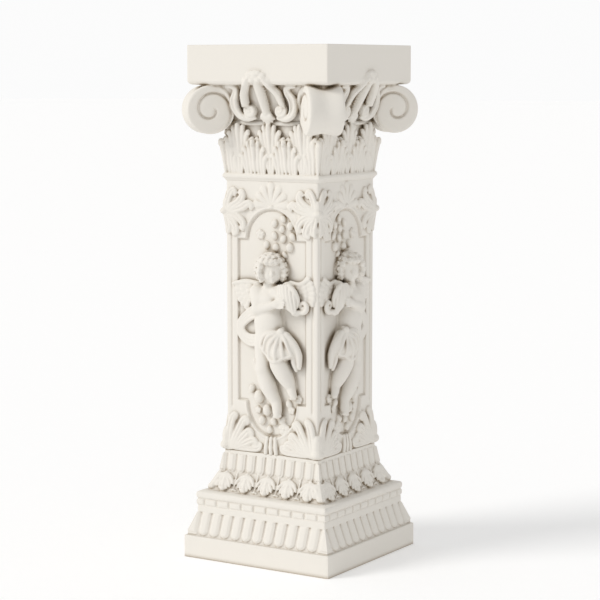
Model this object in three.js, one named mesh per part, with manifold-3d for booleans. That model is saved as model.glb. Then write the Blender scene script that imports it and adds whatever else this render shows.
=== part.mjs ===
// Square column pedestal, cast in one piece: plinth, gadrooned and leaved base, a shaft with a putto
// among fruit on each side, and a leaf capital with corner volutes under a plain abacus.
// Millimetres, +Z up. The origin is the centre of the underside, and the front faces -Y.
import * as THREE from "three";
import { mergeVertices } from "three/addons/utils/BufferGeometryUtils.js";
import Module from "manifold-3d";

const wasm = await Module();
wasm.setup();

// Driving dimensions. A "half" is the distance from the axis to a side.
const HEIGHT = 760;
const PLINTH = { half: 126.4, top: 33 };
const GADROON = { foot: 122, head: 108.6, top: 67, pitch: 19.1, each: 5, rise: 2.6, face: [-0.3, 0.3] };
const BAND = { half: 112, bottom: 67, top: 88 };
const TORUS = { half: 113.4, top: 99.5 };
const LEAF_ROW = { foot: 100, head: 87, top: 128, pitch: 36.5, each: 2 };
const TONGUE = { foot: 84.6, head: 80, top: 155, pitch: 17.1, each: 4, rise: 2.2, face: [0] };
const SHAFT = { half: 79.5, bottom: 161, top: 563.5, fillet: 82.5 };
const PANEL = { half: 59, bottom: 237, top: 478, deep: 3, round: 43, rise: 44, drop: 51 };
const SHELL = { z: 527, radius: 34, lobes: 7, spread: 168, rise: 3.6 };
const ASTRAGAL = { half: 83.6, top: 574 };
const BELL = { foot: 78, head: 79.5, bar: 647, bar_half: 84, lip: 104 };
const CAPITAL_LEAF = { pitch: 53.5, lower_tip: 620, upper_foot: 598, upper_tip: 643 };
const VOLUTE = { radius: 36, wide: 50, reach: 137.5, z: 666.5, turns: 1.3, rise: 2.4, sides: 12 };
const ABACUS = { half: 120, bottom: 702.5, edge: 4 };
const SINK = 2.5; // how far an ornament is set into what carries it
const HEM = -0.6; // the edges of a ridged ornament lie just under the surface that carries it

const lerp = THREE.MathUtils.lerp;
const radians = THREE.MathUtils.degToRad;

// Solids and how they are joined

function solidOf(geometry) {
  const bare = new THREE.BufferGeometry();
  bare.setAttribute("position", geometry.getAttribute("position"));
  bare.setIndex(geometry.index);
  const merged = mergeVertices(bare, 1e-4);
  const triVerts = [];
  for (let i = 0; i < merged.index.count; i += 3) {
    const [a, b, c] = [0, 1, 2].map((k) => merged.index.getX(i + k));
    if (a !== b && b !== c && a !== c) triVerts.push(a, b, c);
  }
  const vertProperties = merged.attributes.position.array;
  const mesh = new wasm.Mesh({ numProp: 3, vertProperties, triVerts: new Uint32Array(triVerts) });
  return new wasm.Manifold(mesh);
}

function geometryOf(solid) {
  const mesh = solid.getMesh();
  const geometry = new THREE.BufferGeometry();
  geometry.setAttribute("position", new THREE.BufferAttribute(mesh.vertProperties, 3));
  geometry.setIndex(new THREE.BufferAttribute(mesh.triVerts, 1));
  return geometry;
}

function join(solids) {
  return solids.reduce((whole, solid) => whole.add(solid));
}

// The image of a solid under a matrix, with its faces turned back where the matrix mirrors.
function imageOf(solid, matrix) {
  const geometry = geometryOf(solid).applyMatrix4(matrix);
  if (matrix.determinant() < 0) {
    const index = geometry.index.array;
    for (let i = 0; i < index.length; i += 3) {
      [index[i + 1], index[i + 2]] = [index[i + 2], index[i + 1]];
    }
  }
  return solidOf(geometry);
}

// Shapes that the ornaments are made of, all facing -Y

// A leaf, lobe or limb in relief: a strip given row by row from its foot to its tip.
// Each row is [z, half width, rise]. It rises to a ridge, or to the lines of a broad face, which
// are given across in shares of the half width.
function petal(rows, face = [0]) {
  const across = [-1, ...face, 1];
  const columns = across.length - 1;
  const last = rows.length - 1;
  const geometry = new THREE.BoxGeometry(1, 1, 1, columns, 1, last);
  const point = geometry.getAttribute("position");
  for (let i = 0; i < point.count; i++) {
    const column = Math.round((point.getX(i) + 0.5) * columns);
    const [z, half, rise] = rows[Math.round((point.getZ(i) + 0.5) * last)];
    const front = column === 0 || column === columns ? HEM : rise;
    point.setXYZ(i, across[column] * half, point.getY(i) < 0 ? -front : SINK, z);
  }
  return geometry;
}

// Lays a geometry over a sloping or upright side, whose half is given at each height.
function drape(geometry, halfAt) {
  const point = geometry.getAttribute("position");
  for (let i = 0; i < point.count; i++) {
    point.setY(i, point.getY(i) - halfAt(point.getZ(i)));
  }
  return geometry;
}

// Turns a geometry in the plane of the front about its own foot, and sets that foot on the side.
function fan(geometry, degrees, u, half, z) {
  return geometry.rotateY(radians(degrees)).translate(u, -half, z);
}

// One pointed lobe for each angle, spread from one foot.
function lobes(angles, length, half, rise, u, sideHalf, z) {
  return angles.map((angle) => {
    const lobe = petal([
      [0, 0, HEM],
      [0.65 * length, half, rise],
      [length, 0, HEM],
    ]);
    return fan(lobe, angle, u, sideHalf, z);
  });
}

// A round limb from one point to another, of radii spaced along it, with blunt ends.
function limb(from, to, radii) {
  const along = to.clone().sub(from);
  const length = along.length();
  const last = radii.length - 1;
  const profile = [
    new THREE.Vector2(0, -0.7 * radii[0]),
    ...radii.map((radius, i) => new THREE.Vector2(radius, (i / last) * length)),
    new THREE.Vector2(0, length + 0.7 * radii[last]),
  ];
  const turn = new THREE.Quaternion().setFromUnitVectors(
    new THREE.Vector3(0, 1, 0),
    along.normalize(),
  );
  return new THREE.LatheGeometry(profile, 6)
    .applyQuaternion(turn)
    .translate(from.x, from.y, from.z);
}

// A round fruit, bud or head: rings of [radius, rise] about a point, closed by a blunt crown.
function dome(at, rings, sides) {
  const [foot] = rings[0];
  const [, crown] = rings[rings.length - 1];
  const profile = [[0, -SINK], [foot, -SINK], ...rings, [0, 1.25 * crown]];
  const points = profile.map(([radius, rise]) => new THREE.Vector2(radius, rise));
  return new THREE.LatheGeometry(points, sides).rotateX(Math.PI).translate(at.x, at.y, at.z);
}

// A point of the front: across, out from the axis, and up.
function onFront(u, half, z) {
  return new THREE.Vector3(u, -half, z);
}

// A point of the sunk panel's field.
function onField(u, z) {
  return onFront(u, SHAFT.half - PANEL.deep, z);
}

// Turns a geometry that faces -Y to face out along the (+X, -Y) corner.
function toCorner(geometry) {
  return geometry.rotateZ(Math.PI / 4);
}

function spaced(each, pitch) {
  return Array.from({ length: 2 * each + 1 }, (_, i) => (i - each) * pitch);
}

// The core: a square turned profile, which carries every ornament

function core() {
  const profile = [
    [0, 0],
    [PLINTH.half, 0],
    [PLINTH.half, PLINTH.top],
    [GADROON.foot - SINK, PLINTH.top],
    [GADROON.head - SINK, BAND.bottom],
    [BAND.half, BAND.bottom],
    [BAND.half, BAND.top],
    [TORUS.half, BAND.top + 4],
    [TORUS.half - 1.4, BAND.top + 8.5],
    [LEAF_ROW.foot + 8, TORUS.top],
    [LEAF_ROW.foot, TORUS.top],
    [LEAF_ROW.head, LEAF_ROW.top],
    [TONGUE.foot - SINK, LEAF_ROW.top],
    [TONGUE.head - SINK, TONGUE.top],
    [SHAFT.fillet, TONGUE.top],
    [SHAFT.fillet, SHAFT.bottom],
    [SHAFT.half, SHAFT.bottom],
    [SHAFT.half, SHAFT.top],
    [ASTRAGAL.half, SHAFT.top + 3],
    [ASTRAGAL.half, ASTRAGAL.top - 3],
    [ASTRAGAL.half - 2, ASTRAGAL.top],
    [BELL.foot, ASTRAGAL.top],
    [BELL.head, BELL.bar - 3],
    [BELL.bar_half, BELL.bar - 3],
    [BELL.bar_half, BELL.bar],
    [BELL.lip, ABACUS.bottom],
    [ABACUS.half - ABACUS.edge, ABACUS.bottom],
    [ABACUS.half, ABACUS.bottom + ABACUS.edge],
    [ABACUS.half, HEIGHT],
    [0, HEIGHT],
  ];
  const points = profile.map(([half, z]) => new THREE.Vector2(half * Math.SQRT2, z));
  return new THREE.LatheGeometry(points, 4).rotateX(Math.PI / 2).rotateZ(Math.PI / 4);
}

// The sunk panel on the front: a tall field with a round head and a rounder foot.
function panel() {
  const shape = new THREE.Shape();
  shape.moveTo(-PANEL.half, PANEL.bottom);
  shape.lineTo(-PANEL.round, PANEL.bottom);
  shape.absellipse(0, PANEL.bottom, PANEL.round, PANEL.drop, Math.PI, 2 * Math.PI);
  shape.lineTo(PANEL.half, PANEL.bottom);
  shape.lineTo(PANEL.half, PANEL.top);
  shape.lineTo(PANEL.round, PANEL.top);
  shape.absellipse(0, PANEL.top, PANEL.round, PANEL.rise, 0, Math.PI);
  shape.lineTo(-PANEL.half, PANEL.top);
  shape.closePath();
  const depth = PANEL.deep + 1;
  const sunk = new THREE.ExtrudeGeometry(shape, { depth, bevelEnabled: false, curveSegments: 6 });
  return sunk.rotateX(Math.PI / 2).translate(0, PANEL.deep - SHAFT.half, 0);
}

// Base: gadroons and tongues in square courses, with hanging leaves between

// A square course of upright tongues with a valley between each two, and one tongue at each corner.
// A tongue's face is given across, in shares of the pitch. The course tapers from its foot to its
// head, and is set into the courses below and above it.
function tonguedCourse({ foot, head, pitch, each, rise, face }, bottom, top) {
  const side = [[-foot - rise, -foot - rise]];
  spaced(each, pitch).forEach((u) => {
    side.push([u - 0.5 * pitch, -foot]);
    face.forEach((share) => side.push([u + share * pitch, -foot - rise]));
  });
  side.push([(each + 0.5) * pitch, -foot]);
  const quarters = [0, 1, 2, 3].flatMap((turn) =>
    side.map(([u, v]) => new THREE.Vector2(u, v).rotateAround(new THREE.Vector2(), (turn * Math.PI) / 2)),
  );
  const course = new THREE.ExtrudeGeometry(new THREE.Shape(quarters), {
    depth: top - bottom + 2,
    bevelEnabled: false,
  }).translate(0, 0, bottom - 1);
  const point = course.getAttribute("position");
  const outer = foot - 1;
  for (let i = 0; i < point.count; i++) {
    if (point.getZ(i) > top) {
      const [x, y] = [point.getX(i), point.getY(i)];
      point.setX(i, Math.abs(x) > outer ? x - Math.sign(x) * (foot - head) : x);
      point.setY(i, Math.abs(y) > outer ? y - Math.sign(y) * (foot - head) : y);
    }
  }
  return course;
}

function leafRowHalf(z) {
  return lerp(LEAF_ROW.foot, LEAF_ROW.head, (z - TORUS.top) / (LEAF_ROW.top - TORUS.top));
}

// A leaf that hangs from the tongues, with side lobes and a tip that curls out.
function hangingLeaf() {
  return petal([
    [TORUS.top + 1.5, 6, 5.5],
    [TORUS.top + 13, 17, 4.8],
    [LEAF_ROW.top - 0.5, 10, 2],
  ]);
}

function hangingLeaves() {
  return spaced(LEAF_ROW.each, LEAF_ROW.pitch).map((u) =>
    drape(hangingLeaf(), leafRowHalf).translate(u, 0, 0),
  );
}

function baseCorner() {
  const onEdge = (z) => Math.SQRT2 * leafRowHalf(z) - 3;
  return [toCorner(drape(hangingLeaf(), onEdge))];
}

// Shaft: a shell, corner leaves, fruit and the putto

function shell() {
  const step = SHELL.spread / SHELL.lobes;
  const half = 0.8 * SHELL.radius * Math.tan(radians(step / 2));
  return Array.from({ length: SHELL.lobes }, (_, i) => {
    const lobe = petal([
      [0, 0, HEM],
      [0.82 * SHELL.radius, half, SHELL.rise],
      [SHELL.radius, 0, HEM],
    ]);
    return fan(lobe, (i - (SHELL.lobes - 1) / 2) * step, 0, SHAFT.half, SHELL.z);
  });
}

// The spread of leaf on the front beside each corner, at the shaft's head and foot.
function cornerSprays() {
  return [-1, 1].flatMap((side) => [
    ...lobes([-150, -85, -20].map((a) => side * a), 31, 8, 4.2, side * 73, SHAFT.half, 517),
    ...lobes([-5, -38, -72].map((a) => side * a), 48, 8, 4.2, side * 71, SHAFT.half, 169),
  ]);
}

// The leaf tip that curls out over the corner at the head, and the rounder leaf at the foot.
function shaftCorner() {
  const head = petal([
    [494, 0, HEM],
    [517, 11, 7],
    [546, 0, HEM],
  ]);
  const foot = petal([
    [160, 20, 7],
    [170, 20, 8],
    [196, 0, HEM],
  ]);
  return [head, foot].map((leaf) => toCorner(leaf.translate(0, 3 - SHAFT.half * Math.SQRT2, 0)));
}

// Fruit above the putto's head and under the feet: [across, up, radius].
const FRUIT = [
  [-17, 482, 9], [4, 498, 9], [22, 503, 9], [36, 488, 9], [16, 480, 9], [-34, 255, 8], [-21, 241, 10],
  [-12, 217, 10], [7, 204, 9], [25, 210, 9], [33, 236, 8],
];

function fruit() {
  return FRUIT.map(([u, z, radius]) => dome(onField(u, z), [[0.8 * radius, 0.8 * radius]], 5));
}

// The putto stands in the panel. Its landmarks are [across, up, half width, rise from the field].
const PUTTO = {
  crown: [4, 434, 21, 25],
  neck: [-2, 414, 13, 15],
  chest: [-4, 395, 25, 25],
  belly: [-1, 357, 26, 29],
  hips: [1, 322, 27, 26],
  hipRight: [-11, 322, 16, 23],
  kneeRight: [-10, 287, 13, 20],
  ankleRight: [15, 228, 8, 10],
  hipLeft: [12, 322, 16, 25],
  kneeLeft: [21, 296, 14, 23],
  ankleLeft: [38, 256, 7, 10],
  shoulderRight: [-21, 403, 11, 21],
  elbowRight: [-15, 375, 10, 27],
  handRight: [19, 386, 7, 30],
  hornMouth: [33, 412, 13, 22],
  hornBend: [43, 376, 13, 20],
  sashFront: [-12, 330, 15, 33],
  sashTip: [46, 296, 7, 14],
  scarfTop: [-22, 375, 7, 12],
  scarfOut: [-53, 350, 8, 8],
  scarfLow: [-22, 328, 7, 12],
};

// The members run between two landmarks each.
const MEMBERS = [
  ["hipRight", "kneeRight"],
  ["kneeRight", "ankleRight"],
  ["hipLeft", "kneeLeft"],
  ["kneeLeft", "ankleLeft"],
  ["shoulderRight", "elbowRight"],
  ["elbowRight", "handRight"],
  ["hornMouth", "hornBend"],
  ["sashFront", "sashTip"],
  ["scarfTop", "scarfOut"],
  ["scarfOut", "scarfLow"],
];

const BROAD = [-0.5, 0.5];

function member(from, to) {
  const [u0, z0, half0, rise0] = PUTTO[from];
  const [u1, z1, half1, rise1] = PUTTO[to];
  const length = Math.hypot(u1 - u0, z1 - z0);
  const rows = [
    [-half0, 0, HEM],
    [0, half0, rise0],
    [length, half1, rise1],
    [length + half1, 0, HEM],
  ];
  const lean = Math.atan2(u1 - u0, z1 - z0);
  return petal(rows, BROAD).rotateY(lean).translate(...onField(u0, z0));
}

function putto() {
  const rows = ["hips", "belly", "chest", "neck"].map((name) => PUTTO[name].slice(1));
  const torso = petal(rows, BROAD).translate(...onField(PUTTO.belly[0], 0));
  const [u, z, radius, rise] = PUTTO.crown;
  const rings = [[radius, 0.4 * rise], [0.6 * radius, 0.85 * rise]];
  const head = dome(onField(u, z), rings, 8);
  return [torso, head, ...MEMBERS.map(([from, to]) => member(from, to))];
}

function wings() {
  const field = SHAFT.half - PANEL.deep;
  return [
    ...lobes([-98, -125], 44, 9, 8, -24, field, 408),
    ...lobes([58, 88], 36, 9, 8, 38, field, 402),
  ];
}

// Capital: two rows of leaves, a bouquet on each side and a volute at each corner

function bellHalf(z) {
  return lerp(BELL.foot, BELL.head, (z - ASTRAGAL.top) / (BELL.bar - ASTRAGAL.top));
}

// A leaf standing on the bell, lobed at its edges, whose tip curls out.
function capitalLeaf(bottom, tip, half, curl) {
  const height = tip - bottom;
  return petal([
    [bottom, 0.6 * half, 3.5],
    [bottom + 0.6 * height, half, 6],
    [tip, 0.35 * half, curl],
  ]);
}

function capitalLeaves() {
  const { pitch, lower_tip, upper_foot, upper_tip } = CAPITAL_LEAF;
  const lower = [-0.5, 0.5].map((i) => [i * pitch, ASTRAGAL.top - 0.5, lower_tip, 23, 10.5]);
  const upper = [-1, 0, 1].map((i) => [i * pitch, upper_foot, upper_tip, 21, 8.5]);
  return [...lower, ...upper].map(([u, bottom, tip, half, curl]) =>
    drape(capitalLeaf(bottom, tip, half, curl), bellHalf).translate(u, 0, 0),
  );
}

function capitalCorner() {
  const leaf = capitalLeaf(ASTRAGAL.top - 0.5, CAPITAL_LEAF.lower_tip, 20, 10);
  return [toCorner(leaf.translate(0, 4 - BELL.foot * Math.SQRT2, 0))];
}

// The flare of the bell between the bar and the abacus.
function flareHalf(z) {
  return lerp(BELL.bar_half, BELL.lip, (z - BELL.bar) / (ABACUS.bottom - BELL.bar));
}

// The bouquet leans out from the bell to lie on the abacus: a stalk between two scrolled leaves.
function bouquet() {
  const stalk = limb(onFront(0, 84, 652), onFront(0, 116, 710), [6.5, 9]);
  const buds = limb(onFront(-11, 116, 713), onFront(11, 116, 713), [5, 9, 5]);
  const scrolls = [-1, 1].flatMap((side) => [
    ...lobes([side * -24], 46, 8, 11, side * 28, 0, 660),
    ...lobes([side * 38], 44, 8, 10, side * 22, 0, 660),
  ]);
  return [stalk, buds, ...scrolls.map((scroll) => drape(scroll, flareHalf))];
}

// One side's spiral ridge, in the volute's own plane: across is along the diagonal.
function spiralShape() {
  const steps = 8;
  const edge = (width) =>
    Array.from({ length: steps }, (_, i) => {
      const turn = i / (steps - 1);
      const radius = lerp(VOLUTE.radius - 1, 6, turn) - width * (1 - 0.4 * turn);
      const angle = -Math.PI / 2 + VOLUTE.turns * 2 * Math.PI * turn;
      return new THREE.Vector2(radius * Math.cos(angle), radius * Math.sin(angle));
    });
  return new THREE.Shape([...edge(0), ...edge(6).reverse()]);
}

// A scroll whose round band is hollow between its rims, with a spiral ridge on both faces.
function volute() {
  const half = VOLUTE.wide / 2;
  const profile = [
    [0, -half],
    [VOLUTE.radius, -half],
    [VOLUTE.radius - 3.5, 0],
    [VOLUTE.radius, half],
    [0, half],
  ].map(([radius, across]) => new THREE.Vector2(radius, across));
  const roll = new THREE.LatheGeometry(profile, VOLUTE.sides).rotateZ(-Math.PI / 2);
  const spiral = (side) =>
    new THREE.ExtrudeGeometry(spiralShape(), { depth: VOLUTE.rise + 1, bevelEnabled: false })
      .rotateX(Math.PI / 2)
      .translate(0, 1 - half, 0)
      .rotateZ((side * Math.PI) / 2);
  return [roll, spiral(-1), spiral(1)].map((piece) =>
    toCorner(piece.translate(0, -VOLUTE.reach, VOLUTE.z)),
  );
}

// Assembly: one side and one corner are made once and set round the core

// The sides are mirror images across the corners: front, right, back, left.
const SIDE_IMAGES = [
  [1, 0, 0, 1],
  [0, -1, -1, 0],
  [-1, 0, 0, -1],
  [0, 1, 1, 0],
].map(([a, b, c, d]) => new THREE.Matrix4().set(a, b, 0, 0, c, d, 0, 0, 0, 0, 1, 0, 0, 0, 0, 1));

const CORNER_TURNS = [0, 1, 2, 3].map((i) => new THREE.Matrix4().makeRotationZ((i * Math.PI) / 2));

function setRound(geometries, matrices) {
  const once = join(geometries.map(solidOf));
  return matrices.map((matrix) => imageOf(once, matrix));
}

function pedestal() {
  const courses = [
    tonguedCourse(GADROON, PLINTH.top, GADROON.top),
    tonguedCourse(TONGUE, LEAF_ROW.top, TONGUE.top),
  ];
  const side = [
    ...hangingLeaves(), ...shell(), ...cornerSprays(), ...fruit(), ...wings(), ...putto(),
    ...capitalLeaves(), ...bouquet(),
  ];
  const corner = [...baseCorner(), ...shaftCorner(), ...capitalCorner(), ...volute()];
  const sunk = solidOf(core()).subtract(join(setRound([panel()], SIDE_IMAGES)));
  return join([
    sunk,
    ...courses.map(solidOf),
    ...setRound(side, SIDE_IMAGES),
    ...setRound(corner, CORNER_TURNS),
  ]);
}

const castStone = new THREE.MeshStandardMaterial({ color: 0xe6e1d8, roughness: 0.85, metalness: 0 });
const geometry = geometryOf(pedestal());
geometry.computeVertexNormals();
const column = new THREE.Mesh(geometry, castStone);
column.name = "column_pedestal";

const part = new THREE.Group();
part.add(column);

export default part;
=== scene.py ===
"""Square cast column pedestal: gadrooned base, relief shaft with a putto, leaf capital with volutes.

One side of the pedestal is modelled as clay: signed distances on a grid, to which round forms are
added and from which grooves are cut. Its skin is mirrored across the corners to the other sides.
Sizes are in millimetres until a mesh is made; the front faces -Y.
"""

import math

import bmesh
import bpy
import numpy as np
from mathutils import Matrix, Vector


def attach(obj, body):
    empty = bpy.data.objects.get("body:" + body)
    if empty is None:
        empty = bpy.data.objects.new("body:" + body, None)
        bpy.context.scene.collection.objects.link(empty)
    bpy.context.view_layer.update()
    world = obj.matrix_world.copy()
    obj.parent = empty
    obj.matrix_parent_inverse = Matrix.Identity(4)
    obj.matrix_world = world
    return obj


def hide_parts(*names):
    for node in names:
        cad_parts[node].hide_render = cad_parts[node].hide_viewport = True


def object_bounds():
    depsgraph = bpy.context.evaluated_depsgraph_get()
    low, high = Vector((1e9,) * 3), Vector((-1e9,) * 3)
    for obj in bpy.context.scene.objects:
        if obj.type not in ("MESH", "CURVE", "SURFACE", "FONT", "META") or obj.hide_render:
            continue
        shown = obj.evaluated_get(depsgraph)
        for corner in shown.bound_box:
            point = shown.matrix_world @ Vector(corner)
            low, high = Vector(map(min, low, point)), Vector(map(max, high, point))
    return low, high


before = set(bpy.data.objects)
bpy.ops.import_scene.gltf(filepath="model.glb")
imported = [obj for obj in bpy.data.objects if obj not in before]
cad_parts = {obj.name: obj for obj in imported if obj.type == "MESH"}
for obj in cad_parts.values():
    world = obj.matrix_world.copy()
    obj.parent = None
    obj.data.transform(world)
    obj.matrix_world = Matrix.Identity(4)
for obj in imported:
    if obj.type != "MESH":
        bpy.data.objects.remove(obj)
cad_low, cad_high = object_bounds()

MM = 0.001
HEIGHT = (cad_high.z - cad_low.z) / MM
FAR = 40.0  # a distance that stands for empty space
PIECE_TRIANGLES = 190_000

# Grids: the cell of each zone's clay
BASE_CELL, SHAFT_CELL, CAPITAL_CELL = 0.85, 0.75, 0.9

# Meshes: points nearer than WELD become one, edges below SLIVER go, and edges above SHARP degrees
# stay sharp. A rim point past MITRE of the way to a corner's diagonal is set on it.
WELD, SLIVER, SHARP, MITRE = 0.02, 0.005, 48, 0.97

# Levels and halves of the square mouldings, from the floor up
PLINTH_HALF, PLINTH_TOP = 126.4, 33.0
BELL_FOOT, BELL_HEAD, BELL_TOP = 121.5, 108.4, 67.0
BAND_HALF, BRICK_CORE, BRICK_BOTTOM, BRICK_TOP = 112.0, 110.2, 77.5, 88.0
TORUS_HALF, TORUS_TOP = 113.6, 99.5
LEAF_FOOT, LEAF_HEAD, LEAF_TOP = 99.5, 86.6, 128.0
TONGUE_FOOT, TONGUE_HEAD, TONGUE_TOP = 85.2, 80.4, 155.0
FILLET_HALF, SHAFT_BOTTOM, SHAFT_HALF, SHAFT_TOP = 82.4, 161.0, 79.5, 563.0
ASTRAGAL_HALF, ASTRAGAL_TOP = 84.0, 574.0
CAPITAL_FOOT, CAPITAL_HEAD, BAR_LOW, BAR_HIGH = 77.0, 79.0, 644.0, 650.0
ABACUS_HALF, ABACUS_BOTTOM = 120.0, 702.5

# Repeats on each side: pitch, and how many stand on each side of the middle one
GADROON_PITCH, GADROONS_EACH = 19.1, 5
BRICK_PITCH, BRICKS_EACH = 22.0, 4
LEAF_PITCH, LEAVES_EACH = 37.0, 2
TONGUE_PITCH, TONGUES_EACH = 17.1, 4
CAPITAL_PITCH, CAPITAL_TALL, CAPITAL_WIDE, LOWER_TIP, UPPER_TIP = 54.0, 46.5, 21.5, 10.0, 8.0

# Panel
PANEL_HALF, PANEL_BOTTOM, PANEL_TOP, PANEL_DEEP = 59.0, 237.0, 478.0, 3.0
ARCH_HALF, ARCH_RISE, ARCH_DROP = 43.0, 44.0, 51.0
FIELD = SHAFT_HALF - PANEL_DEEP

# Stone: its sheen, and the size and depth of its grain
ROUGHNESS, SPECULAR = 0.82, 0.25
GRAIN_SCALE, GRAIN_DETAIL, GRAIN_STRENGTH, GRAIN_DEPTH = 260.0, 4.0, 0.06, 1.0

# Patina and painted shade: how near the forms that close a hollow in are, for a beige wash that darkens
# the hollows both as patina and as painted shade, how uneven it is and the patches of that, and the places
# on its ramp of the darkened and the bare colour
PATINA_SHADE_REACH, PATINA_SHADE_UNEVEN, PATINA_SHADE_SAMPLES, PATCH_SCALE, PATCH_DETAIL = 9.0, -0.10, 12, 22.0, 3.0
PATINA_SHADE_DEEP, PATINA_SHADE_NONE = (0.22, (0.34, 0.265, 0.175)), (0.82, (0.80, 0.765, 0.705))

# Light: the surroundings' strength, and a broad sun's strength, spread, colour and direction
AMBIENT, BACKDROP = 0.66, 0.97
SUN, SUN_ANGLE, SUN_COLOUR, SUN_FROM = 1.3, 24.0, (1.0, 0.985, 0.96), (-0.55, -0.7, 0.62)

FLOOR_SIDE, FLOOR_COLOUR, FLOOR_ROUGHNESS, FLOOR_GLOW = 80.0, (0.95, 0.95, 0.95), 0.9, 0.14

# Camera: its turn and pitch in degrees, its distance, where it aims and its lens
CAMERA_TURN, CAMERA_PITCH, CAMERA_FAR = 32.258, 6.733, 2.916
AIM_UP, AIM_ASIDE, LENS, SENSOR = 0.3819, -0.0007, 116.92, 36.0

# Volutes: a roll across each corner's diagonal, and the strip of its tread that is evened out
VOLUTE_REACH, VOLUTE_UP, VOLUTE_RADIUS, VOLUTE_HALF = 138.6, 666.3, 35.6, 25.0
SEAM_HALF, SEAM_INNER, SEAM_ROUNDS = 3.0, 0.8 * ABACUS_HALF, 6


def smooth_min(a, b, blend):
    if blend <= 0:
        return np.minimum(a, b)
    near = np.maximum(blend - np.abs(a - b), 0.0)
    return np.minimum(a, b) - near * near * (0.25 / blend)


def ramp(value, start, end):
    t = np.clip((value - start) / (end - start), 0.0, 1.0)
    return t * t * (3.0 - 2.0 * t)


def curve_through(points, per_span=6):
    """Points on a smooth curve through the given ones (Catmull-Rom)."""
    points = np.asarray(points, float)
    ends = np.vstack([2 * points[0] - points[1], points, 2 * points[-1] - points[-2]])
    t = np.linspace(0, 1, per_span, endpoint=False)[:, None]
    spans = []
    for p0, p1, p2, p3 in zip(ends, ends[1:], ends[2:], ends[3:]):
        spans.append(
            0.5 * (2 * p1 + (p2 - p0) * t + (2 * p0 - 5 * p1 + 4 * p2 - p3) * t**2
                   + (3 * p1 - p0 - 3 * p2 + p3) * t**3)
        )
    return np.vstack(spans + [points[-1:]])


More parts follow.
